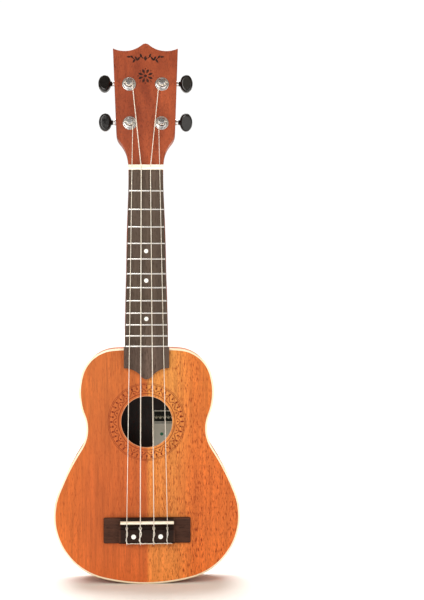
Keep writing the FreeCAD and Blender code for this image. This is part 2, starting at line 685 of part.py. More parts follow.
def wood_screw():
    """Small round-headed screw through the ear of a housing."""
    head_front = HEAD_THICK + 2
    head = Part.makeSphere(2.3, Vector(0, head_front, SCREW_Z), Vector(0, 1, 0), 0, 90, 360)
    slot = box(-3, 3, head_front + 1.3, head_front + 3, SCREW_Z - 0.3, SCREW_Z + 0.3)
    return head.cut(slot).fuse(along_y(0, 4, head_front, SCREW_Z, 1.2))


def post():
    """String post: a waist for the winding, a hole for the string and a seat for the gear."""
    waist = (-POST_RISE + 2.2, -2.9)
    profile = [(0, -POST_RISE), (POST_RADIUS - 0.7, -POST_RISE), (POST_RADIUS, -POST_RISE + 0.7),
               (POST_RADIUS, waist[0] - 0.5), (WAIST_RADIUS, waist[0]), (WAIST_RADIUS, waist[1]),
               (POST_RADIUS, waist[1] + 0.5), (POST_RADIUS, GEAR_Y[0]), (2.2, GEAR_Y[0]),
               (2.2, GEAR_Y[1] + 0.2), (0, GEAR_Y[1] + 0.2)]
    points = [Vector(x, y, 0) for x, y in profile]
    turned = Part.Face(Part.makePolygon(points + points[:1])).revolve(Vector(), Vector(0, 1, 0), 360)
    return turned.cut(rod(Vector(-4, waist[0] + 0.9, 0), Vector(4, waist[0] + 0.9, 0), 0.7))


def gear():
    """Worm wheel: a hub with teeth that lean by the lead angle of the worm's thread."""
    root, tip = GEAR_PITCH_RADIUS - 0.75, GEAR_PITCH_RADIUS + 0.3
    front, back = GEAR_Y
    lean = THREAD_PITCH / (2 * pi * WORM_PITCH_RADIUS)
    start_x = (front - WORM_Y) * lean
    half_root = HALF_TOOTH + (GEAR_PITCH_RADIUS - root) * FLANK
    half_tip = HALF_TOOTH - (tip - GEAR_PITCH_RADIUS) * FLANK
    base = root - 0.6
    corners = [(-half_root, base), (half_root, base), (half_root, root), (half_tip, tip),
               (-half_tip, tip), (-half_root, root)]
    points = [Vector(start_x + x, front, z) for x, z in corners]
    tooth = Part.Face(Part.makePolygon(points + points[:1]))
    tooth = tooth.extrude(Vector((back - front) * lean, back - front, 0))
    teeth = []
    for i in range(TEETH):
        turned = tooth.copy()
        turned.rotate(Vector(), Vector(0, 1, 0), 360.0 / TEETH * (i + 0.5))
        teeth.append(turned)
    hub = along_y(0, front, back, 0, root)
    return hub.fuse(teeth).cut(along_y(0, front - 1, back + 1, 0, 2.2))


def worm_thread():
    """Right-handed thread round the shaft, with its crest at x = 0 on the side of the gear."""
    length = 6.0
    inner, outer = SHAFT_RADIUS - 0.25, WORM_PITCH_RADIUS + 0.5
    half_inner = HALF_TOOTH + (WORM_PITCH_RADIUS - inner) * FLANK
    half_outer = HALF_TOOTH - (outer - WORM_PITCH_RADIUS) * FLANK
    helix = Part.makeHelix(THREAD_PITCH, length, WORM_PITCH_RADIUS)
    corners = [Vector(inner, 0, -half_inner), Vector(outer, 0, -half_outer),
               Vector(outer, 0, half_outer), Vector(inner, 0, half_inner)]
    profile = Part.makePolygon(corners + corners[:1])
    thread = Part.Wire(helix.Edges).makePipeShell([profile], True, True)
    thread.translate(Vector(0, 0, -length / 2))
    thread.rotate(Vector(), Vector(0, 0, 1), -180.0 * length / THREAD_PITCH)
    return thread


def worm_shaft():
    """Shaft of the button: inner journal, worm, thrust collar, outer journal, collar and stem."""
    thread = moved(worm_thread(), Placement(Vector(0, WORM_Y, WORM_Z), Rotation(Vector(0, 1, 0), 90)))
    pieces = [along_worm(4.3, 5.4, 2.4), along_worm(5.4, BARREL_END + 0.1, 2.0),
              along_worm(BARREL_END + 0.1, BARREL_END + 1.6, BARREL_RADIUS - 0.4),
              along_worm(BARREL_END + 1.6, STEM_END, STEM_RADIUS)]
    core = along_worm(-6.9, 4.3, SHAFT_RADIUS)
    return core.fuse(pieces).fuse(thread)


def button(turn):
    """Oval button with a rounded rim, set on the stem at its own angle."""
    middle = (BUTTON_X[0] + BUTTON_X[1]) / 2
    half_thick = 3.8
    oval = Part.Ellipse(Vector(middle, WORM_Y - half_thick, WORM_Z + BUTTON_HALF_LENGTH),
                        Vector(BUTTON_X[1], WORM_Y - half_thick, WORM_Z),
                        Vector(middle, WORM_Y - half_thick, WORM_Z)).toShape()
    disc = Part.Face(Part.Wire(oval)).extrude(Vector(0, 2 * half_thick, 0))
    rims = [edge for edge in disc.Edges if edge.Length > 30]
    boss = Part.makeCone(2.4, 3.6, 4.5, Vector(BUTTON_X[0] - 1.5, WORM_Y, WORM_Z), Vector(1, 0, 0))
    grip = disc.makeFillet(2.6, rims).fuse(boss)
    grip = grip.cut(along_worm(BUTTON_X[0] - 2, STEM_END, STEM_RADIUS))
    grip.rotate(Vector(0, WORM_Y, WORM_Z), Vector(1, 0, 0), turn)
    return grip


def string_wrap(k):
    """The string's turns round its post, a left-handed coil on a right-hand machine."""
    name = TUNERS[k][0]
    pitch = 2 * STRING_RADII[name] + 0.08
    radius = wrap_radius(name)
    helix = Part.makeHelix(pitch, pitch * WRAP_TURNS, radius, 0, True)
    start = Vector(radius, 0, 0)
    ring = Part.Wire(Part.makeCircle(STRING_RADII[name], start, Vector(0, -1, pitch / (2 * pi * radius))))
    coil = Part.Wire(helix.Edges).makePipeShell([ring], True, True)
    coil.rotate(Vector(), Vector(0, 0, 1), leaving_angle(k))
    return moved(coil, Placement(Vector(0, -WRAP_FOOT, 0), Rotation(Vector(1, 0, 0), 90)))


def make_tuners():
    for k in TUNERS:
        save(f"tuner_housing_{k}", placed(housing(), k))
        save(f"button_{k}", placed(button(BUTTON_TURNS[k]), k))
        save(f"worm_shaft_{k}", placed(worm_shaft(), k))
        save(f"post_{k}", placed(post(), k))
        save(f"gear_{k}", placed(gear(), k))
        save(f"string_wrap_{k}", placed(string_wrap(k), k))
    save("tuner_covers", *[placed(cover(), k) for k in TUNERS])
    save("tuner_bushings", *[placed(bushing(), k) for k in TUNERS])
    save("tuner_washers", *[placed(washer(), k) for k in TUNERS])
    save("tuner_mount_screws", *[placed(wood_screw(), k) for k in TUNERS])


os.makedirs("parts", exist_ok=True)
make_body()
make_neck()
make_fretboard()
make_nut()
make_bridge()
make_strings()
make_tuners()
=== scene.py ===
import math

import bmesh
import bpy
from mathutils import Matrix, Vector


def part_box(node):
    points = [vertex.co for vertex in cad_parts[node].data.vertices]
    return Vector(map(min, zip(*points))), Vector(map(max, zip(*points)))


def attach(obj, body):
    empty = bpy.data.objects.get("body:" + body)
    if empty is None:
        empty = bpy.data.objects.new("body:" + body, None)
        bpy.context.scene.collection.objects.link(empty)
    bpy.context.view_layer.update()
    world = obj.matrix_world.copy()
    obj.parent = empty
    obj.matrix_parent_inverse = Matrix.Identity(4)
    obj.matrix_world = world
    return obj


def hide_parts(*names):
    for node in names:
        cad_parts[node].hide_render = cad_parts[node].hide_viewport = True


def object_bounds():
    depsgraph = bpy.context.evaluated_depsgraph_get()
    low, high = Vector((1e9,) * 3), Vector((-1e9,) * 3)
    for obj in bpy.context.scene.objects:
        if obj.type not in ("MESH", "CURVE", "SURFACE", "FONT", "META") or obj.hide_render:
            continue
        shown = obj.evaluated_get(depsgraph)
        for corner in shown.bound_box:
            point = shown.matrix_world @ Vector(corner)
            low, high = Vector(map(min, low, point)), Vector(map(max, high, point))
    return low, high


# Looks of a soprano ukulele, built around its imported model. Everything is in metres, in the frame of
# the model: +Z up the neck, the front faces -Y, +X to the right of somebody who looks at the front.
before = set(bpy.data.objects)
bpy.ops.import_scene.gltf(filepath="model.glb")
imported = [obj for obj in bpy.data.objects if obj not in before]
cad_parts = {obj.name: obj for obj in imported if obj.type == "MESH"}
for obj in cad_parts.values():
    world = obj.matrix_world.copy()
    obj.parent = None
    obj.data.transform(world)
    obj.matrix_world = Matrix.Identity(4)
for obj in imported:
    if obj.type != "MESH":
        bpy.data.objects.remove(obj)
CAD_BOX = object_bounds()
MM = 0.001

FRONT_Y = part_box("soundboard")[0].y
BACK_INNER_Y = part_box("back_plate")[0].y
NUT_TOP_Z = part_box("nut")[1].z
HEAD_TILT = math.radians(12.0)
# Frame of the headstock's face: X across it, Z along it, -Y out of it, from the top of the nut
HEAD = Matrix.Translation((0, FRONT_Y, NUT_TOP_Z)) @ Matrix.Rotation(-HEAD_TILT, 4, "X")
SOUNDHOLE_Z = 160.7 * MM
SOUNDHOLE_RADIUS = 25.3 * MM
SCALE_LENGTH = 346.0 * MM
COMPENSATION = 1.0 * MM         # the saddle stands this much further out than the scale length
FRET_ZERO_Z = 408.7 * MM        # where the frets are measured from


# ---------------------------------------------------------------- node graphs
MIX_A, MIX_B, MIX_COLOUR = 6, 7, 2      # colour inputs and colour output of a Mix node


class Graph:
    """Node graph of one material that ends in a Principled shader."""

    def __init__(self, name, **fixed):
        self.material = bpy.data.materials.new(name)
        self.material.use_nodes = True
        self.tree = self.material.node_tree
        self.tree.nodes.clear()
        output = self.tree.nodes.new("ShaderNodeOutputMaterial")
        self.shader = self.tree.nodes.new("ShaderNodeBsdfPrincipled")
        self.tree.links.new(self.shader.outputs[0], output.inputs["Surface"])
        self.place = self.tree.nodes.new("ShaderNodeTexCoord").outputs["Object"]
        self.finish(**fixed)

    def finish(self, **inputs):
        """Give inputs of the shader a number, a colour or the output of a node."""
        for name, value in inputs.items():
            self.feed(self.shader.inputs[name.replace("_", " ")], value)
        return self.material

    def feed(self, socket, value):
        """Link the output of a node to a socket, or set the socket to a colour or a number."""
        if isinstance(value, bpy.types.NodeSocket):
            self.tree.links.new(value, socket)
        elif isinstance(value, tuple) and socket.type == "RGBA":
            socket.default_value = (*value, 1.0)
        else:
            socket.default_value = value

    def node(self, kind, inputs, output=0, **settings):
        """Add a node, feed its inputs and return one of its outputs."""
        made = self.tree.nodes.new("ShaderNode" + kind)
        for name, value in settings.items():
            setattr(made, name, value)
        for key, value in inputs.items():
            self.feed(made.inputs[key], value)
        return made.outputs[output]

    def math(self, operation, a, b=0.0):
        return self.node("Math", {0: a, 1: b}, operation=operation)

    def stretched(self, stretch):
        """The place that is shaded, scaled along each axis."""
        return self.node("VectorMath", {0: self.place, 1: stretch}, operation="MULTIPLY")

    def noise(self, scale, stretch=(1, 1, 1), detail=2.0, rough=0.5, warp=0.0):
        """Noise whose features are longer along an axis where stretch is below 1."""
        inputs = {"Vector": self.stretched(stretch), "Scale": scale, "Detail": detail,
                  "Roughness": rough, "Distortion": warp}
        return self.node("TexNoise", inputs)

    def cells(self, scale, stretch):
        """Distance to the nearest of many scattered points."""
        return self.node("TexVoronoi", {"Vector": self.stretched(stretch), "Scale": scale}, "Distance")

    def remap(self, value, low, high, to_low=0.0, to_high=1.0):
        """Spread the range from low to high over another range, held at both ends."""
        inputs = {0: value, 1: low, 2: high, 3: to_low, 4: to_high}
        return self.node("MapRange", inputs, clamp=True)

    def ramp(self, value, stops):
        """Colour or grey level that changes with a value; a stop is a position and what is there."""
        made = self.tree.nodes.new("ShaderNodeValToRGB")
        self.feed(made.inputs[0], value)
        bands = made.color_ramp.elements
        while len(bands) < len(stops):
            bands.new(0.5)
        for band, (position, colour) in zip(bands, stops):
            band.position = position
            band.color = (*colour, 1.0) if isinstance(colour, tuple) else (colour,) * 3 + (1.0,)
        return made.outputs[0]

    def blend(self, share, a, b, kind="MIX"):
        return self.node("Mix", {0: share, MIX_A: a, MIX_B: b}, MIX_COLOUR, data_type="RGBA",
                         blend_type=kind)

    def axis(self, letter):
        """One coordinate of the point that is shaded."""
        return self.node("SeparateXYZ", {0: self.place}, "XYZ".index(letter))

    def bump(self, height, depth, strength):
        return self.node("Bump", {"Strength": strength, "Distance": depth, "Height": height})


def srgb(red, green, blue):
    """Linear colour from the usual 0 to 255 values."""
    def linear(value):
        value /= 255
        return value / 12.92 if value <= 0.04045 else ((value + 0.055) / 1.055) ** 2.4
    return linear(red), linear(green), linear(blue)


# ---------------------------------------------------------------- woods
UP = (1, 1, 0.045)              # grain along Z
ACROSS = (0.045, 1, 1)          # grain along X
ROUND = (0.05, 1, 0.05)         # grain that follows the bent sides
PORE_DEPTH = 0.05 * MM


def wood(name, tones, pore, stretch, pores=0.6, ribbon_scale=38.0, rough=0.42, specular=0.3,
         shade=(0.86, 1.13), denser=None):
    """Open-pored wood: broad ribbons, streaks, fibres and short dark flecks that lie along the grain.

    The tones are a dark and a light colour, or a function that lays out the ribbons' colours.
    """
    graph = Graph(name, Specular_IOR_Level=specular)
    short = tuple(1.0 if s == 1 else 0.13 for s in stretch)
    stubby = tuple(1.0 if s == 1 else 0.35 for s in stretch)
    ribbons = graph.noise(ribbon_scale, stretch, 3.0, 0.55, 0.5)
    streaks = graph.remap(graph.noise(310.0, stretch, 3.0, 0.6, 0.2), 0.28, 0.72)
    fibres = graph.noise(1500.0, stretch, 2.0, 0.6)
    if callable(tones):
        colour = tones(graph, ribbons)
    else:
        colour = graph.blend(graph.remap(ribbons, 0.3, 0.7), *tones)
    lines = graph.math("ADD", graph.math("MULTIPLY", streaks, 0.65),
                       graph.math("MULTIPLY", graph.remap(fibres, 0.3, 0.7), 0.35))
    colour = graph.blend(1.0, colour, graph.remap(lines, 0.0, 1.0, *shade), "MULTIPLY")
    clusters = graph.remap(graph.noise(55.0, short, 2.0), 0.35, 0.65, 0.5, 1.0)
    clumps = graph.remap(graph.noise(430.0, stubby, 2.0), 0.36, 0.64, 0.35, 1.5)
    clusters = graph.math("MULTIPLY", clusters, clumps)
    if denser:
        clusters = graph.math("MULTIPLY", clusters, denser(graph))
    large = graph.remap(graph.noise(1500.0, short, 1.5, 0.5), 0.52, 0.64)
    small = graph.remap(graph.noise(2800.0, short, 1.0), 0.54, 0.70)
    flecks = graph.math("MULTIPLY", graph.math("MAXIMUM", graph.math("MULTIPLY", small, 0.7), large),
                        clusters)
    colour = graph.blend(graph.math("MULTIPLY", flecks, pores), colour, pore)
    sheen = graph.remap(graph.noise(24.0, (1, 1, 1), 3.0), 0.3, 0.7, rough - 0.05, rough + 0.07)
    sheen = graph.math("ADD", sheen, graph.math("MULTIPLY", flecks, 0.2))
    depth = graph.math("SUBTRACT", graph.math("MULTIPLY", fibres, 0.35), flecks)
    graph.finish(Base_Color=colour, Roughness=sheen, Normal=graph.bump(depth, PORE_DEPTH, 0.6))
    return graph, colour


RUSSET, AMBER, GOLD = srgb(179, 88, 38), srgb(194, 99, 39), srgb(201, 122, 56)
# Tone across the soundboard, by distance from its middle
SOUNDBOARD_TONES = ((-82 * MM, AMBER), (-54 * MM, RUSSET), (-1 * MM, RUSSET), (2 * MM, GOLD),
                    (26 * MM, GOLD), (46 * MM, AMBER), (80 * MM, AMBER))


def top_tone(graph, ribbons):
    """Tone of the soundboard: redder left half and paler right half, with a soft wandering edge.

    Towards the neck it is painted a little lighter and yellower, as painted light from above, and at the
    tail it is painted lighter, as painted light thrown up from the floor.
    """
    half_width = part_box("soundboard")[1].x
    wander = graph.noise(9.0, (0.3, 0, 1), 3.0, 0.6)
    x = graph.math("ADD", graph.axis("X"), graph.remap(wander, 0.2, 0.8, -3 * MM, 3 * MM))
    stops = [((at + half_width) / (2 * half_width), tone) for at, tone in SOUNDBOARD_TONES]
    colour = graph.ramp(graph.remap(x, -half_width, half_width), stops)
    # painted light: lighter and yellower towards the neck, as if lit from above
    upper = graph.remap(graph.axis("Z"), 100 * MM, 200 * MM)
    colour = graph.blend(upper, colour, graph.blend(1.0, colour, (0.98, 1.14, 1.12), "MULTIPLY"))
    # painted light: lighter towards the tail, as if lit by light thrown up from the floor
    tail = graph.remap(graph.axis("Z"), 8 * MM, 60 * MM, 1.32, 1.0)
    broad = graph.math("MULTIPLY", graph.remap(ribbons, 0.25, 0.75, 0.9, 1.1), tail)
    return graph.blend(1.0, colour, broad, "MULTIPLY")


def denser_right(graph):
    """More open pores on the right half of the soundboard."""
    return graph.remap(graph.axis("X"), -30 * MM, 35 * MM, 0.6, 1.5)


def book_tone(graph, ribbons):
    """Ribbons that mirror about the middle joint of the back; its inner face is painted near black, as
    painted shade for the dim inside of the body.
    """
    away = graph.node("SeparateXYZ", {0: graph.node("VectorMath", {0: graph.place},
                                                    operation="ABSOLUTE")}, 0)
    wander = graph.remap(graph.noise(8.0, (0, 0, 1), 2.0), 0.2, 0.8, -6 * MM, 6 * MM)
    place = graph.remap(graph.math("ADD", away, wander), 0.0, 95 * MM)
    broad = graph.ramp(place, ((0.0, 0.35), (0.14, 0.7), (0.26, 0.3), (0.42, 0.62), (0.55, 0.36),
                               (0.7, 0.75), (0.84, 0.4), (1.0, 0.6)))
    colour = graph.blend(graph.math("ADD", broad, graph.remap(ribbons, 0.25, 0.75, -0.14, 0.14)),
                         srgb(150, 62, 26), srgb(220, 120, 58))
    # painted shade: the inner face of the back is darkened to near black, for the dim inside of the body
    painted_inner_shade = graph.remap(graph.axis("Y"), BACK_INNER_Y + 0.2 * MM, BACK_INNER_Y + 0.8 * MM, 0.02, 1.0)
    return graph.blend(1.0, colour, painted_inner_shade, "MULTIPLY")


def top_wood():
    """Soundboard: mahogany with a paler rim round the soundhole."""
    graph, colour = wood("top_mahogany", top_tone, srgb(134, 48, 16), UP, pores=0.66, specular=0.2,
                         shade=(0.72, 1.42), denser=denser_right)
    centre = graph.node("VectorMath", {0: graph.place, 1: (0, FRONT_Y, SOUNDHOLE_Z)},
                        operation="SUBTRACT")
    flat = graph.node("VectorMath", {0: centre, 1: (1, 0, 1)}, operation="MULTIPLY")
    away = graph.node("VectorMath", {0: flat}, 1, operation="LENGTH")
    rim = graph.remap(away, SOUNDHOLE_RADIUS + 0.25 * MM, SOUNDHOLE_RADIUS + 0.6 * MM, 1.0, 0.0)
    colour = graph.blend(graph.math("MULTIPLY", rim, 0.7), colour, srgb(232, 178, 140))
    return graph.finish(Base_Color=colour)


def bridge_wood():
    """Bridge: dark rosewood, with painted shade that darkens the tie block in the middle."""
    block_edge = (25.4 * MM, 26.8 * MM)
    graph, colour = wood("bridge_rosewood", (srgb(48, 27, 19), srgb(84, 52, 38)), srgb(20, 11, 8),
                         ACROSS, pores=0.6, ribbon_scale=120.0, rough=0.55, specular=0.15)
    # painted shade: the tie block between the wings is darkened to three tenths, as if in shadow
    block = graph.remap(graph.math("ABSOLUTE", graph.axis("X")), *block_edge, 0.3, 1.0)
    return graph.finish(Base_Color=graph.blend(1.0, colour, block, "MULTIPLY"))


def plain_wood(*about, **settings):
    """Material of a wood that needs nothing more than the usual graph."""
    return wood(*about, **settings)[0].material


def make_woods():
    """Materials of all the wooden parts, by name."""
    board = {"pores": 0.5, "ribbon_scale": 90.0, "rough": 0.55, "specular": 0.2}
    unseen = {"rough": 0.7, "specular": 0.1}
    return {
        "top": top_wood(),
        "bridge": bridge_wood(),
        "back": plain_wood("back_mahogany", book_tone, srgb(74, 28, 14), UP, pores=0.55),
        "side": plain_wood("side_mahogany", (srgb(146, 60, 25), srgb(214, 112, 54)),
                           srgb(74, 28, 14), ROUND, pores=0.55, ribbon_scale=60.0),
        "neck": plain_wood("neck_mahogany", (srgb(122, 50, 27), srgb(170, 82, 46)),
                           srgb(70, 24, 13), UP, pores=0.4, rough=0.38, specular=0.2,
                           shade=(0.84, 1.18)),
        "fingerboard": plain_wood("fingerboard_rosewood", (srgb(62, 50, 42), srgb(92, 77, 66)),
                                  srgb(32, 23, 18), UP, **board),
        "extension": plain_wood("extension_rosewood", (srgb(68, 54, 46), srgb(98, 80, 70)),
                                srgb(36, 26, 22), UP, **board),
        # painted shade: the inside spruce and the blocks are darker than these woods are, for the dim
        # inside of the body
        "inner": plain_wood("inner_spruce", (srgb(92, 62, 40), srgb(126, 90, 60)),
                            srgb(60, 38, 24), ACROSS, pores=0.25, **unseen),
        "block": plain_wood("block_mahogany", (srgb(82, 44, 26), srgb(112, 66, 40)),
                            srgb(50, 26, 16), UP, pores=0.4, **unseen),
        "dowel": plain_wood("dowel_maple", (srgb(196, 160, 116), srgb(226, 196, 152)),
                            srgb(168, 130, 90), UP, pores=0.25, rough=0.6),
    }


# ---------------------------------------------------------------- other materials
def cream():
    """Plastic binding: cream with faint long clouds and a soft polish."""
    graph = Graph("binding_plastic", Specular_IOR_Level=0.5, Subsurface_Weight=0.08,
                  Subsurface_Radius=(0.003, 0.002, 0.001), Subsurface_Scale=0.3)
    clouds = graph.remap(graph.noise(60.0, (1, 3, 1), 3.0), 0.3, 0.7)
    colour = graph.blend(clouds, srgb(232, 214, 178), srgb(244, 232, 206))
    scrape = graph.noise(900.0, (0.1, 1, 0.1), 2.0)
    rough = graph.remap(scrape, 0.3, 0.7, 0.26, 0.4)
    return graph.finish(Base_Color=colour, Roughness=rough,
                        Normal=graph.bump(scrape, 0.01 * MM, 0.4))


def bone():
    """Nut and saddle: pale bone with faint fibres and small brown specks."""
    graph = Graph("bone", Subsurface_Weight=0.12, Subsurface_Radius=(0.004, 0.0025, 0.0015),
                  Subsurface_Scale=0.3)
    fibres = graph.noise(420.0, (0.06, 1, 1), 4.0, 0.6)
    colour = graph.blend(graph.remap(fibres, 0.3, 0.75), srgb(252, 248, 236), srgb(234, 222, 194))
    specks = graph.remap(graph.cells(1600.0, (0.3, 1, 1)), 0.05, 0.16, 0.5, 0.0)
    colour = graph.blend(specks, colour, srgb(176, 150, 108))
    rough = graph.remap(fibres, 0.3, 0.7, 0.28, 0.42)
    return graph.finish(Base_Color=colour, Roughness=rough,
                        Normal=graph.bump(fibres, 0.012 * MM, 0.5))


def metal(name, clean, dull, rough, stretch=(1, 1, 1), wear=0.35, scratches=0.006 * MM,
          smudge_scale=90.0):
    """Plated or polished metal with smudges, fine scratches and a duller tone in patches."""
    graph = Graph(name, Metallic=1.0)
    smudges = graph.noise(smudge_scale, (1, 1, 1), 3.0, 0.6)
    lines = graph.noise(2600.0, stretch, 2.0, 0.7)
    colour = graph.blend(graph.remap(smudges, 0.45, 0.75, 0.0, wear), clean, dull)
    spread = graph.math("ADD", graph.remap(smudges, 0.35, 0.7, rough, rough + 0.12),
                        graph.remap(lines, 0.35, 0.65, -0.02, 0.04))
    return graph.finish(Base_Color=colour, Roughness=spread,
                        Normal=graph.bump(lines, scratches, 0.5))


def pearl():
    """Mother-of-pearl: pale patches that drift through pink, green and blue."""
    graph = Graph("pearl", Coat_Weight=0.5, Coat_Roughness=0.08)
    drift = graph.noise(700.0, (1, 1, 0.6), 3.0, 0.6, 1.5)
    colour = graph.ramp(drift, ((0.25, srgb(222, 226, 232)), (0.42, srgb(250, 246, 240)),
                                (0.52, srgb(232, 244, 236)), (0.62, srgb(250, 232, 236)),
                                (0.78, srgb(214, 228, 240))))
    return graph.finish(Base_Color=colour, Roughness=graph.remap(drift, 0.3, 0.7, 0.15, 0.3),
                        Normal=graph.bump(drift, 0.02 * MM, 0.3))


def nylon():
    """Clear white string, slightly milky, with die lines along it."""
    graph = Graph("string_nylon", Transmission_Weight=0.3, Subsurface_Weight=0.25,
                  Subsurface_Radius=(0.002, 0.002, 0.002), Subsurface_Scale=0.3, IOR=1.5)
    milk = graph.noise(240.0, (1, 1, 0.1), 3.0)
    colour = graph.blend(graph.remap(milk, 0.3, 0.7), srgb(240, 231, 215), srgb(252, 246, 236))
    lines = graph.noise(5200.0, (1, 1, 0.02), 1.0)
    return graph.finish(Base_Color=colour, Roughness=graph.remap(milk, 0.3, 0.7, 0.2, 0.34),
                        Normal=graph.bump(lines, 0.004 * MM, 0.4))


def black_plastic():
    """Moulded button: deep gloss, faint orange peel, wipe marks and dust-fine scuffs."""
    graph = Graph("button_plastic", Specular_IOR_Level=0.4, Coat_Weight=0.1, Coat_Roughness=0.05)
    peel = graph.noise(520.0, (1, 1, 1), 2.0)
    wipes = graph.noise(140.0, (1, 0.4, 1.6), 4.0, 0.65)
    colour = graph.blend(graph.remap(wipes, 0.45, 0.8), srgb(9, 8, 9), srgb(24, 22, 22))
    rough = graph.remap(wipes, 0.35, 0.75, 0.08, 0.2)
    return graph.finish(Base_Color=colour, Roughness=rough, Normal=graph.bump(peel, 0.02 * MM, 0.35))


def paper():
    """Label: pale paper with a visible pulp and a few yellowed patches."""
    graph = Graph("label_paper", Specular_IOR_Level=0.2)
    pulp = graph.noise(900.0, (1, 1, 1), 4.0, 0.7)
    stain = graph.remap(graph.noise(45.0, (1, 1, 1), 3.0), 0.4, 0.75)
    colour = graph.blend(graph.remap(pulp, 0.3, 0.7), srgb(226, 222, 206), srgb(240, 236, 222))
    colour = graph.blend(graph.math("MULTIPLY", stain, 0.35), colour, srgb(206, 188, 150))
    return graph.finish(Base_Color=colour, Roughness=graph.remap(pulp, 0.3, 0.7, 0.8, 0.95),
                        Normal=graph.bump(pulp, 0.03 * MM, 0.5))


def ink(name, dark, pale, scale=800.0, stretch=(1, 1, 1)):
    """Burnt or printed mark whose tone breaks up with the grain under it."""
    graph = Graph(name, Specular_IOR_Level=0.2)
    breaks = graph.noise(scale, stretch, 3.0, 0.6)
    colour = graph.blend(graph.remap(breaks, 0.35, 0.7), dark, pale)
    return graph.finish(Base_Color=colour, Roughness=graph.remap(breaks, 0.3, 0.7, 0.6, 0.75),
                        Normal=graph.bump(breaks, 0.02 * MM, 0.5))


# ---------------------------------------------------------------- mesh building
SINK = 0.03 * MM                # how far a flat mark reaches into the surface under it
# Rounded end of a tube: how far out each ring lies and how wide it is, in radii of the tube
DOME = ((0.0, 1.0), (0.35, 0.85), (0.6, 0.45))


def add_piece(name, mesh, material, body, replaced=(), angle=35.0):
    """Turn a bmesh into a piece that rides on a body, shaded smooth up to an angle."""
    bmesh.ops.recalc_face_normals(mesh, faces=mesh.faces)
    for face in mesh.faces:
        face.smooth = True
    for edge in mesh.edges:
        edge.smooth = not (edge.is_manifold and edge.calc_face_angle(0.0) > math.radians(angle))
    data = bpy.data.meshes.new(name)
    mesh.to_mesh(data)
    mesh.free()
    data.materials.append(material)
    made = bpy.data.objects.new(name, data)
    bpy.context.scene.collection.objects.link(made)
    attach(made, body)
    if replaced:
        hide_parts(*replaced)


def through(points, step, most=14):
    """Smooth curve through the given points, as points about a step apart, at most so many a span."""
    ends = [points[0] * 2 - points[1], *points, points[-1] * 2 - points[-2]]
    path = []
    for a, b, c, d in zip(ends, ends[1:], ends[2:], ends[3:]):
        spans = [max((q - p).length, 1e-7) ** 0.5 for p, q in ((a, b), (b, c), (c, d))]
        leave = ((b - a) / spans[0] - (c - a) / (spans[0] + spans[1]) + (c - b) / spans[1]) * spans[1]
        arrive = ((c - b) / spans[1] - (d - b) / (spans[1] + spans[2]) + (d - c) / spans[2]) * spans[1]
        count = max(2, min(most, math.ceil((c - b).length / step)))
        for i in range(count):
            t = i / count
            path.append(b * (2 * t ** 3 - 3 * t ** 2 + 1) + leave * (t ** 3 - 2 * t ** 2 + t)
                        + c * (3 * t ** 2 - 2 * t ** 3) + arrive * (t ** 3 - t ** 2))
    return path + [points[-1]]


def sweep(mesh, path, radius, sides=12):
    """Round tube along a path, closed at both ends by low domes."""
    heading = (path[1] - path[0]).normalized()
    across = heading.orthogonal().normalized()
    rings = []
    before = None
    for i, point in enumerate(path):
        ahead = path[min(i + 1, len(path) - 1)] - path[max(i - 1, 0)]
        heading = ahead.normalized()
        if before is not None:
            across = before.rotation_difference(heading) @ across
        across = (across - heading * across.dot(heading)).normalized()
        before = heading
        other = heading.cross(across)
        profile = DOME[:1]
        if i == 0:
            profile = [(-shift, scale) for shift, scale in reversed(DOME)]
        elif i == len(path) - 1:
            profile = DOME
        for shift, scale in profile:
            ring = []
            for k in range(sides):
                turn = 2 * math.pi * k / sides
                spoke = across * math.cos(turn) + other * math.sin(turn)
                ring.append(mesh.verts.new(point + heading * shift * radius + spoke * radius * scale))
            rings.append(ring)
    for lower, upper in zip(rings, rings[1:]):
        for k in range(sides):
            n = (k + 1) % sides
            mesh.faces.new((lower[k], lower[n], upper[n], upper[k]))
    mesh.faces.new(rings[0][::-1])
    mesh.faces.new(rings[-1])


def raised(mesh, outline, place, height):
    """Flat plate with the given outline (u, v), standing a little proud of a face."""
    low = [mesh.verts.new(place @ Vector((u, SINK, v))) for u, v in outline]
    top = [mesh.verts.new(place @ Vector((u, -height, v))) for u, v in outline]
    mesh.faces.new(top)
    mesh.faces.new(low[::-1])
    for i in range(len(outline)):
        n = (i + 1) % len(outline)
        mesh.faces.new((low[i], low[n], top[n], top[i]))


def leaf(u, v, angle, length, width, widest=0.5):
    """Outline of a pointed leaf about (u, v), and how far along the leaf it is widest."""
    steps = 7
    points = []
    for side in (1, -1):
        for i in range(steps):
            t = i / steps if side > 0 else 1 - i / steps
            swell = math.sin(math.pi * t ** (math.log(0.5) / math.log(widest)))
            points.append(((t - 0.5) * length, side * width / 2 * swell))
    cos, sin = math.cos(angle), math.sin(angle)
    return [(u + a * cos - b * sin, v + a * sin + b * cos) for a, b in points]


def stroke(mesh, line, width, place, height, closed=False):
    """Flat strip of even width along a line (u, v)."""
    count = len(line)
    sides = []
    for i, (u, v) in enumerate(line):
        before = line[i - 1] if closed or i > 0 else line[i]
        after = line[(i + 1) % count] if closed or i < count - 1 else line[i]
        du, dv = after[0] - before[0], after[1] - before[1]
        run = math.hypot(du, dv)
        nu, nv = -dv / run * width / 2, du / run * width / 2
        low = [mesh.verts.new(place @ Vector((u + s * nu, SINK, v + s * nv))) for s in (1, -1)]
        top = [mesh.verts.new(place @ Vector((u + s * nu, -height, v + s * nv))) for s in (1, -1)]
        sides.append((low[0], low[1], top[1], top[0]))
    pairs = list(zip(sides, sides[1:]))
    if closed:
        pairs.append((sides[-1], sides[0]))
    else:
        mesh.faces.new(sides[0])
        mesh.faces.new(sides[-1][::-1])
    for a, b in pairs:
        for k in range(4):
            n = (k + 1) % 4
            mesh.faces.new((a[k], a[n], b[n], b[k]))


def ring_line(radius, count=180):
    """Points (u, v) of a circle about the origin."""
    return [(radius * math.cos(2 * math.pi * i / count), radius * math.sin(2 * math.pi * i / count))
            for i in range(count)]


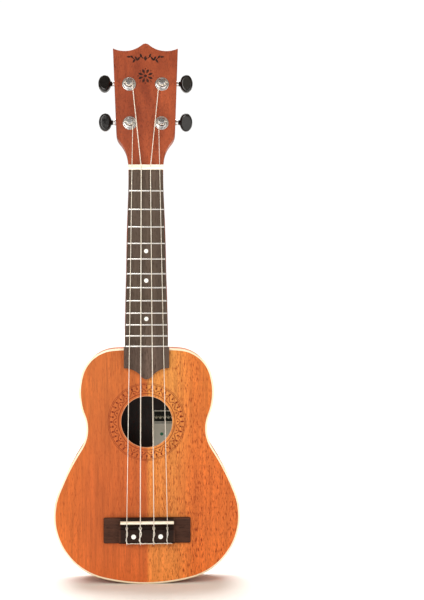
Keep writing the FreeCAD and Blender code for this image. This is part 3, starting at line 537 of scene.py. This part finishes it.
# ---------------------------------------------------------------- ornament
def rosette(material):
    """Burnt ring round the soundhole: rings, arches and small leaves."""
    mesh = bmesh.new()
    place = Matrix.Translation((0, FRONT_Y, SOUNDHOLE_Z))
    height = 0.07 * MM
    rings = ((28.0, 0.6), (37.2, 0.5), (38.4, 0.35))    # radius and width in millimetres
    repeats = 22
    half = math.pi / repeats
    arch_foot, arch_rise, arch_width = 29.6, 3.5, 0.6   # millimetres
    arch_cover = 0.94                                   # of a repeat's angle
    arch_steps = 12
    # Each leaf of a repeat: distance out, turn in halves of a repeat, tilt, length and width
    leaves = ((30.7, 0, 0.0, 2.2, 1.4), (35.0, 0, 0.0, 3.4, 1.8), (33.9, 1, 0.6, 2.8, 1.1),
              (33.9, 1, -0.6, 2.8, 1.1), (35.9, 1, math.pi / 2, 1.7, 1.1))
    for radius, width in rings:
        stroke(mesh, ring_line(radius * MM), width * MM, place, height, closed=True)
    for i in range(repeats):
        middle = 2 * math.pi * i / repeats
        arch = []
        for j in range(arch_steps + 1):
            share = j / arch_steps
            radius = (arch_foot + arch_rise * math.sin(math.pi * share)) * MM
            turn = middle + half * (2 * share - 1) * arch_cover
            arch.append((radius * math.cos(turn), radius * math.sin(turn)))
        stroke(mesh, arch, arch_width * MM, place, height)
        for distance, halves, tilt, length, width in leaves:
            turn = middle + halves * half
            u, v = distance * MM * math.cos(turn), distance * MM * math.sin(turn)
            raised(mesh, leaf(u, v, turn + tilt, length * MM, width * MM), place, height)
    add_piece("rosette", mesh, material, "root")


def headstock_ornament(material):
    """Burnt vine across the headstock and a small flower under it."""
    mesh = bmesh.new()
    height = 0.08 * MM
    vine_z = 111.5 * MM
    stem_start, stem_run = 2.2 * MM, 12.5 * MM
    stem_steps = 24
    sway, waves = 1.7 * MM, 2.5 * math.pi
    # Share of the stem, tilt and length in millimetres of each leaf on one side
    leaves = ((0.12, 1.1, 4.6), (0.3, -1.0, 4.8), (0.5, 1.0, 4.6), (0.68, -1.0, 4.2),
              (0.84, 0.9, 3.8), (1.02, 0.0, 4.4))
    for side in (1, -1):
        stem = []
        for i in range(stem_steps + 1):
            share = i / stem_steps
            stem.append((side * (stem_start + share * stem_run), vine_z + sway * math.sin(share * waves)))
        stroke(mesh, stem, 0.8 * MM, HEAD, height)
        for share, tilt, length in leaves:
            at = stem_start + share * stem_run
            lift = sway * math.sin(min(share, 1.0) * waves)
            reach = length * MM * 0.45
            angle = tilt if side > 0 else math.pi - tilt
            raised(mesh, leaf(side * at + math.cos(angle) * reach,
                              vine_z + lift + math.sin(angle) * reach, angle, length * MM,
                              2.0 * MM, 0.42), HEAD, height)
    raised(mesh, leaf(0, vine_z, math.pi / 2, 5.0 * MM, 3.0 * MM), HEAD, height)

    flower_z = 93.0 * MM
    around = 8
    # Distance out, first angle, length, width and widest place of the petals, then of the dots
    for ring, first, length, width, widest in ((5.0, math.pi / around, 5.4, 2.5, 0.6),
                                               (7.6, 0.0, 1.7, 1.0, 0.5)):
        for i in range(around):
            angle = 2 * math.pi * i / around + first
            raised(mesh, leaf(ring * MM * math.cos(angle), flower_z + ring * MM * math.sin(angle),
                              angle, length * MM, width * MM, widest), HEAD, height)
    raised(mesh, [(u, flower_z + v) for u, v in ring_line(1.5 * MM, 16)], HEAD, height)
    add_piece("headstock_ornament", mesh, material, "root")


def label_print(dark, pale, green):
    """Marks on the label: a dark band with pale leaves, two rules, a dot and blank ruled lines."""
    low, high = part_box("label")
    place = Matrix.Translation((0, low.y, 0))
    height = 0.05 * MM
    margin = 1.2 * MM
    left, right, top = low.x + margin, high.x - margin, high.z - margin
    band = high.z - 11.5 * MM
    mesh = bmesh.new()
    raised(mesh, [(left, band), (right, band), (right, top), (left, top)], place, height)
    for z in (band - 1.0 * MM, band - 1.9 * MM):
        stroke(mesh, [(left, z), (right, z)], 0.35 * MM, place, height)
    for i in range(3):
        z = low.z + (4 + 4.5 * i) * MM
        stroke(mesh, [(left + 14 * MM, z), (right - 2 * MM, z)], 0.2 * MM, place, height)
    add_piece("label_print", mesh, dark, "root")
    mesh = bmesh.new()
    for i in range(9):
        u = left + (2.2 + 4.1 * i) * MM
        for tilt in (0.9, 1.57, 2.24):
            raised(mesh, leaf(u + 1.7 * MM * math.cos(tilt), band + 2.6 * MM + 1.9 * MM * math.sin(tilt),
                              tilt, 3.6 * MM, 1.0 * MM, 0.4), place, height + 0.04 * MM)
    add_piece("label_leaves", mesh, pale, "root")
    mesh = bmesh.new()
    dot_x, dot_z = low.x + 8.8 * MM, low.z + 13.6 * MM
    raised(mesh, [(dot_x + u, dot_z + v) for u, v in ring_line(1.7 * MM, 24)], place, height)
    add_piece("label_dot", mesh, green, "root")


# ---------------------------------------------------------------- frets
FRETS = 12
CROWN_HALF = 1.0 * MM
CROWN_HEIGHT = 1.0 * MM
CROWN_STEPS = 12
BOARD_THICK = 5.0 * MM
BOARD_HALF_NUT = 16.7 * MM
BOARD_HALF_END = 21.3 * MM
FILED = 1.1 * MM                # length of the rounded end of a wire
FRET_INSET = 0.1 * MM           # from the edge of the fretboard to the end of a wire
FRET_SINK = 0.2 * MM            # how far a wire reaches into the fretboard


def fret_wires(material):
    """Crowned wires whose ends are filed down and rounded."""
    board_low, board_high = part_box("fretboard")
    seat = FRONT_Y - BOARD_THICK
    mesh = bmesh.new()
    for number in range(1, FRETS + 1):
        z = FRET_ZERO_Z - SCALE_LENGTH * (1 - 2 ** (-number / 12))
        down = (board_high.z - z) / (board_high.z - board_low.z)
        half = BOARD_HALF_NUT + (BOARD_HALF_END - BOARD_HALF_NUT) * down - FRET_INSET
        stations = []
        for share in (0.0, 0.12, 0.3, 0.55, 0.8, 1.0):
            stations.append((half - FILED * share, 0.22 + 0.78 * math.sin(math.pi / 2 * share)))
        stations = [(-x, size) for x, size in stations] + stations[::-1]
        rings = []
        for x, size in stations:
            ring = []
            for i in range(CROWN_STEPS + 1):
                turn = math.pi * i / CROWN_STEPS
                y = seat - CROWN_HEIGHT * size * math.sin(turn) ** 0.9
                across = CROWN_HALF * (0.6 + 0.4 * size) * math.cos(turn)
                ring.append(mesh.verts.new((x, y, z - across)))
            for side in (1, -1):
                ring.append(mesh.verts.new((x, seat + FRET_SINK, z + side * CROWN_HALF * 0.5)))
            rings.append(ring)
        for a, b in zip(rings, rings[1:]):
            for k in range(len(a)):
                n = (k + 1) % len(a)
                mesh.faces.new((a[k], a[n], b[n], b[k]))
        mesh.faces.new(rings[0])
        mesh.faces.new(rings[-1][::-1])
    add_piece("fret_wires", mesh, material, "root", ("frets",), angle=50.0)


# ---------------------------------------------------------------- strings
RADIUS = {"g": 0.36 * MM, "c": 0.50 * MM, "e": 0.42 * MM, "a": 0.31 * MM}
ORDER = ("g", "c", "e", "a")
# Tuning machines: string, side, and place of the post across and along the headstock
MACHINES = {1: ("g", -1, 15.8 * MM, 43.5 * MM), 2: ("c", -1, 16.5 * MM, 84.4 * MM),
            3: ("e", 1, 16.5 * MM, 84.4 * MM), 4: ("a", 1, 15.8 * MM, 43.5 * MM)}
NUT_SPACING = 9.1 * MM
NUT_SLOT_HEIGHT = 6.6 * MM      # above the soundboard, as the other heights here
NUT_BEND_Z = 412.2 * MM         # where a string bends over the nut
BELOW_NUT_TOP = 3.0 * MM        # about how far that is below the top of the nut
SADDLE_SPACING = 13.3 * MM
SADDLE_HEIGHT = 10.27 * MM
SADDLE_Z = FRET_ZERO_Z - SCALE_LENGTH - COMPENSATION
TIE_HEIGHT = 8.06               # just above the tie block, in millimetres as the tie's other points
STRING_STEP = 0.35 * MM
WAIST = 2.6 * MM                # radius of a post where its string winds on
POST_GAP = 0.04 * MM            # between the post and its string
WRAP_FOOT = 3.8 * MM            # where the turns begin, out from the headstock's face
WRAP_TURNS = 2.55
WRAP_GAP = 0.08 * MM            # between one turn and the next
WRAP_STEPS = 120
POST_HOLE = 6.4 * MM            # hole that takes the string's end, out from the headstock's face


def leaving(machine):
    """Angle round the post at which a string leaves its winding, and the winding's radius."""
    name, side, across, along = MACHINES[machine]
    radius = WAIST + RADIUS[name] + POST_GAP
    over_x = across - side * (ORDER.index(name) - 1.5) * NUT_SPACING
    over_z = along + BELOW_NUT_TOP
    run = math.atan2(over_z, over_x) + math.asin(radius / math.hypot(over_x, over_z))
    return run + math.pi / 2, radius


def on_machine(machine, x, out, z):
    """Point given from a machine's post: outward, out from the headstock's face, and along it."""
    _, side, across, along = MACHINES[machine]
    return HEAD @ Vector((side * (across + x), -out, along + z))


def string_path(machine):
    """Centreline of a string from its winding, over nut and saddle, through its tie to its tail."""
    name = MACHINES[machine][0]
    r = RADIUS[name]
    angle, radius = leaving(machine)
    touch = on_machine(machine, radius * math.cos(angle), WRAP_FOOT, radius * math.sin(angle))
    from_middle = ORDER.index(name) - 1.5
    x = from_middle * SADDLE_SPACING
    nut = Vector((from_middle * NUT_SPACING, FRONT_Y - NUT_SLOT_HEIGHT - r, NUT_BEND_Z))
    crown = Vector((x, FRONT_Y - SADDLE_HEIGHT - r, SADDLE_Z))
    down_the_neck = (crown - nut).normalized()
    to_post = (touch - nut).normalized()
    upper = [touch, touch.lerp(nut, 0.5), nut + to_post * 3 * MM, nut + to_post * 0.8 * MM,
             nut + down_the_neck * 0.8 * MM, nut + down_the_neck * 4 * MM, nut.lerp(crown, 0.5),
             crown - down_the_neck * 4 * MM, crown - down_the_neck * 0.5 * MM]

    def at(radii, out, z):
        """Point beside the string's line by some of its radii, with height and z in millimetres."""
        return Vector((x + radii * r, FRONT_Y - out * MM, z * MM))

    on_top = TIE_HEIGHT + r / MM
    over = on_top + 1.7 * r / MM
    tie = [at(0, 9.55 + r / MM, 60.6), at(0, 7.6, 58.2), at(0, 5.6, 56.0), at(0, 5.2, 54.6),
           at(0, 5.2, 47.0), at(0, 5.2, 41.2), at(0, 5.6, 40.2), at(0, 6.9, 39.9), at(0, 7.9, 40.2),
           at(-0.2, on_top, 41.2), at(-0.9, on_top, 44.5), at(-0.9, on_top, 48.5),
           at(-0.6, on_top, 52.0), at(0.6, on_top, 54.2), at(1.9, 7.8, 55.6), at(2.1, 6.6, 56.6),
           at(0.3, 5.4, 57.2), at(-2.0, 6.3, 57.0), at(-2.2, 8.0, 56.2), at(-1.2, over, 55.0),
           at(0.9, over, 53.2), at(1.9, on_top + 0.1, 51.0), at(0.8, over, 48.6), at(-1.4, over, 46.6),
           at(-2.2, on_top + 0.1, 44.6), at(-0.6, over, 42.9), at(1.2, over - 0.1, 41.7)]
    reach = SADDLE_SPACING / r
    rear = [at(4.0, on_top - 0.1, 41.1), at(0.35 * reach, on_top, 41.3), at(0.7 * reach, on_top, 41.2),
            at(reach - 2.0, on_top + 1.2 * r / MM, 41.4)]
    if name == "a":
        rear = rear[:1] + [at(0.22 * reach, on_top, 41.4), at(0.34 * reach, on_top + 0.2, 41.2)]
    else:
        rear.append(at(reach + 2.5, on_top + 1.8 * r / MM, 41.6))
    return upper + tie + rear


def make_strings(material):
    """Each string in one piece from its winding to its tail, tied behind the bridge."""
    for machine, (name, *_) in MACHINES.items():
        mesh = bmesh.new()
        sweep(mesh, through(string_path(machine), STRING_STEP), RADIUS[name])
        add_piece(f"string_{name}_tied", mesh, material, "root", (f"string_{name}",))


def make_windings(material):
    """Turns round each post that climb to its hole, with the cut end sticking out."""
    cut_end = ((-2.5, 0.35), (-1.7, 0.05), (0.0, 0.0), (2.6, 0.0), (4.2, -0.15), (5.3, -0.5))
    for machine, (name, *_) in MACHINES.items():
        r = RADIUS[name]
        start, radius = leaving(machine)
        pitch = 2 * r + WRAP_GAP
        climb = POST_HOLE - WRAP_FOOT - pitch * WRAP_TURNS
        end = start - 2 * math.pi * WRAP_TURNS
        # After its turns the string goes on round the post to the inner mouth of the hole
        entry = end - (end + math.pi) % (2 * math.pi)
        path = []
        for i in range(WRAP_STEPS + 1):
            turned = (start - entry) * i / WRAP_STEPS
            late = max(0.0, turned - 2 * math.pi * WRAP_TURNS) / max(end - entry, 1e-6)
            out = WRAP_FOOT + pitch * min(turned / (2 * math.pi), WRAP_TURNS)
            out += climb * late * late * (3 - 2 * late)
            near = radius - 0.12 * MM * late
            angle = start - turned
            path.append(on_machine(machine, near * math.cos(angle), out, near * math.sin(angle)))
        for x, z in cut_end:
            path.append(on_machine(machine, x * MM, POST_HOLE, z * MM))
        mesh = bmesh.new()
        sweep(mesh, path, r)
        add_piece(f"winding_{machine}", mesh, material, f"string_post_{machine}",
                  (f"string_wrap_{machine}",))


# ---------------------------------------------------------------- put the looks on
WOODS = make_woods()
CREAM, BONE, PEARL, NYLON = cream(), bone(), pearl(), nylon()
CHROME = metal("chrome_plate", srgb(206, 206, 208), srgb(120, 120, 123), 0.05, wear=0.75,
               smudge_scale=210.0)
# painted shade: the posts get a darker copy of the chrome plating, darkened further in patches, standing
# in for the shade on the posts below their caps
SHADED_POST_PLATE = metal("post_plate_painted_shade", srgb(160, 160, 163), srgb(70, 70, 74), 0.09, wear=0.8,
                   smudge_scale=260.0)
CASE = metal("case_plate", srgb(184, 185, 189), srgb(132, 132, 135), 0.15, wear=0.6,
             scratches=0.012 * MM, smudge_scale=120.0)
FRET = metal("nickel_silver", srgb(206, 205, 204), srgb(160, 156, 150), 0.16, (1, 1, 0.05))
BRASS = metal("gear_brass", srgb(214, 176, 96), srgb(140, 104, 52), 0.26, (1, 0.1, 1), wear=0.6)
STEEL = metal("screw_steel", srgb(206, 206, 204), srgb(130, 128, 124), 0.22, (1, 0.2, 1), wear=0.5)
BLACK = black_plastic()
PAPER = paper()
BURNT = ink("burnt_mark", srgb(98, 30, 12), srgb(136, 54, 24), 900.0, UP)
NEAR_BLACK = ink("dark_burnt_mark", srgb(30, 14, 12), srgb(58, 28, 20), 900.0, UP)
PRINT = ink("label_ink", srgb(22, 24, 20), srgb(58, 58, 48))
PALE_PRINT = ink("label_pale_ink", srgb(188, 184, 160), srgb(220, 214, 190))
GREEN = ink("label_green_ink", srgb(52, 122, 92), srgb(92, 160, 124))

LOOKS = {
    "soundboard": WOODS["top"], "back_plate": WOODS["back"],
    "side_left": WOODS["side"], "side_right": WOODS["side"],
    "neck": WOODS["neck"], "heel": WOODS["neck"], "heel_cap": CREAM,
    "neck_block": WOODS["block"], "tail_block": WOODS["block"],
    "top_linings": WOODS["inner"], "back_linings": WOODS["inner"],
    "top_braces": WOODS["inner"], "back_braces": WOODS["inner"], "bridge_plate": WOODS["inner"],
    "neck_dowels": WOODS["dowel"], "top_binding": CREAM, "back_binding": CREAM,
    "fretboard": WOODS["fingerboard"], "fretboard_extension": WOODS["extension"],
    "fret_markers": PEARL, "bridge_dots": PEARL, "nut": BONE, "saddle": BONE,
    "bridge": WOODS["bridge"], "bridge_bolts": STEEL, "bridge_bolt_nuts": STEEL, "label": PAPER,
    "tuner_covers": CASE, "tuner_bushings": CHROME, "tuner_washers": CHROME,
    "tuner_mount_screws": STEEL, "frets": FRET,
}
for letter in ORDER:
    LOOKS[f"string_{letter}"] = NYLON
for machine in MACHINES:
    LOOKS[f"tuner_housing_{machine}"] = CASE
    LOOKS[f"post_{machine}"] = SHADED_POST_PLATE
    LOOKS[f"worm_shaft_{machine}"] = CHROME
    LOOKS[f"gear_{machine}"] = BRASS
    LOOKS[f"button_{machine}"] = BLACK
    LOOKS[f"string_wrap_{machine}"] = NYLON
for node, material in LOOKS.items():
    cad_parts[node].data.materials.clear()
    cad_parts[node].data.materials.append(material)

rosette(BURNT)
headstock_ornament(NEAR_BLACK)
label_print(PRINT, PALE_PRINT, GREEN)
fret_wires(FRET)
make_strings(NYLON)
make_windings(NYLON)


# ---------------------------------------------------------------- floor, light and camera
FLOOR_RADIUS = 14.0
FLOOR_GAP = 0.1 * MM

# Brightness of the studio by height of the direction, seen in reflections and as soft light
STUDIO_LEVELS = ((0.0, 0.5), (0.1, 0.15), (0.24, 0.1), (0.35, 1.0), (0.45, 0.85), (0.54, 0.4),
                 (0.66, 0.12), (0.8, 0.6), (1.0, 0.6))
STUDIO_TINT = (1.0, 0.885, 0.73)
BACKDROP_LEVEL = 1.03

CAMERA_DISTANCE = 1.6
CAMERA_HEIGHT = 0.2811
CAMERA_LENS = 96.84             # millimetres, on a sensor 36 mm wide
CAMERA_YAW = math.radians(-2.331)
CAMERA_ROLL = math.radians(-0.2)


def make_floor():
    """Broad pale floor that the ukulele stands on."""
    mesh = bmesh.new()
    bmesh.ops.create_circle(mesh, cap_ends=True, segments=96, radius=FLOOR_RADIUS)
    data = bpy.data.meshes.new("floor")
    mesh.to_mesh(data)
    mesh.free()
    floor = bpy.data.objects.new("floor", data)
    floor.location.z = CAD_BOX[0].z - FLOOR_GAP
    bpy.context.scene.collection.objects.link(floor)
    graph = Graph("floor_paint", Specular_IOR_Level=0.1)
    patches = graph.noise(3.0, (1, 1, 1), 3.0)
    colour = graph.blend(patches, (0.93, 0.925, 0.915), (0.95, 0.945, 0.935))
    data.materials.append(graph.finish(Base_Color=colour,
                                       Roughness=graph.remap(patches, 0.3, 0.7, 0.75, 0.9)))


def area_light(name, place, target, size, power, colour=(1, 1, 1)):
    """Rectangular lamp at a place, turned to face the target and hidden from the camera."""
    data = bpy.data.lights.new(name, "AREA")
    data.shape = "RECTANGLE"
    data.size, data.size_y = size
    data.energy = power
    data.color = colour
    lamp = bpy.data.objects.new(name, data)
    lamp.location = place
    lamp.rotation_euler = (Vector(target) - Vector(place)).to_track_quat("-Z", "Y").to_euler()
    lamp.visible_camera = False
    bpy.context.scene.collection.objects.link(lamp)


def make_world():
    """White to the camera, and a darker studio with a bright band all round for light and reflections."""
    world = bpy.data.worlds.new("studio")
    world.use_nodes = True
    tree = world.node_tree
    tree.nodes.clear()
    output, background, split, bands, rays, pick = [
        tree.nodes.new("ShaderNode" + kind) for kind in
        ("OutputWorld", "Background", "SeparateXYZ", "ValToRGB", "LightPath", "Mix")]
    pick.data_type = "RGBA"
    while len(bands.color_ramp.elements) < len(STUDIO_LEVELS):
        bands.color_ramp.elements.new(0.5)
    for band, (position, level) in zip(bands.color_ramp.elements, STUDIO_LEVELS):
        band.position = position
        band.color = (*(level * tint for tint in STUDIO_TINT), 1.0)
    direction = tree.nodes.new("ShaderNodeTexCoord").outputs["Generated"]
    for start, end in ((direction, split.inputs[0]), (split.outputs["Z"], bands.inputs[0]),
                       (rays.outputs["Is Camera Ray"], pick.inputs[0]),
                       (bands.outputs[0], pick.inputs[MIX_A]),
                       (pick.outputs[MIX_COLOUR], background.inputs[0]),
                       (background.outputs[0], output.inputs[0])):
        tree.links.new(start, end)
    pick.inputs[MIX_B].default_value = (BACKDROP_LEVEL, BACKDROP_LEVEL, BACKDROP_LEVEL, 1.0)
    bpy.context.scene.world = world


def make_light():
    """Warm key from the left, weak fill from the right, and a very soft sun from above and behind."""
    area_light("key", (-0.6, -1.7, 0.9), (0, 0, 0.25), size=(1.0, 1.0), power=17.0,
               colour=(1.0, 0.97, 0.93))
    area_light("fill", (1.3, -1.5, 0.6), (0, 0, 0.28), size=(0.8, 1.2), power=5.0)
    sun = bpy.data.lights.new("overhead", "SUN")
    sun.energy = 3.7
    sun.angle = math.radians(50.0)
    lamp = bpy.data.objects.new("overhead", sun)
    lamp.rotation_euler = Vector((-0.1, 0.62, 1.0)).to_track_quat("Z", "Y").to_euler()
    bpy.context.scene.collection.objects.link(lamp)


def make_camera():
    """Camera straight in front, a little above half the height, turned right of the ukulele."""
    data = bpy.data.cameras.new("camera")
    data.sensor_width = 36.0
    data.lens = CAMERA_LENS
    camera = bpy.data.objects.new("camera", data)
    place = Matrix.Translation((0.0, FRONT_Y - CAMERA_DISTANCE, CAMERA_HEIGHT))
    aim = Matrix.Rotation(CAMERA_YAW, 4, "Z") @ Matrix.Rotation(math.pi / 2, 4, "X")
    camera.matrix_world = place @ aim @ Matrix.Rotation(CAMERA_ROLL, 4, "Z")
    bpy.context.scene.collection.objects.link(camera)
    bpy.context.scene.camera = camera


make_floor()
make_world()
make_light()
make_camera()
bpy.context.scene.view_settings.view_transform = "Standard"
